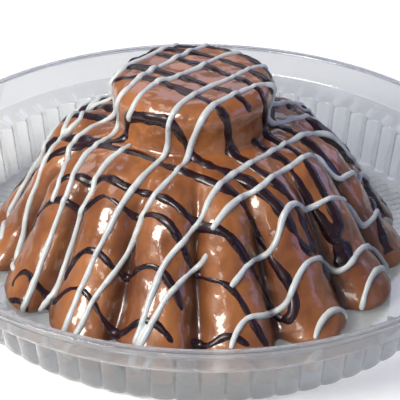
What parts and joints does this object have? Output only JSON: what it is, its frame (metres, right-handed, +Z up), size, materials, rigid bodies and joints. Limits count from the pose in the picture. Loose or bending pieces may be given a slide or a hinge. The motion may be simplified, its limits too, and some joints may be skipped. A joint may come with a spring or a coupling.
{
  "type": "lava cake",
  "caption": "Ring-moulded chocolate cake with a small round cake on top, coated in milk chocolate and striped with dark and white chocolate, in a clear fluted tray.",
  "frame": {"origin": "middle of the tray's flat underside, which is the lowest plane of the object", "axes": "+Z up, -Y towards the front that the picture shows, +X to its right"},
  "size_m": [0.28, 0.28, 0.0884],
  "materials": {
    "clear_plastic": "clear thermoformed, glossy",
    "milk_chocolate": "glossy set coating",
    "dark_chocolate": "glossy piped lines",
    "white_chocolate": "satin piped lines"
  },
  "bodies": {
    "root": {"tray": "clear_plastic", "lower_cake": "milk_chocolate", "top_cake": "milk_chocolate"}
  },
  "joints": []
}
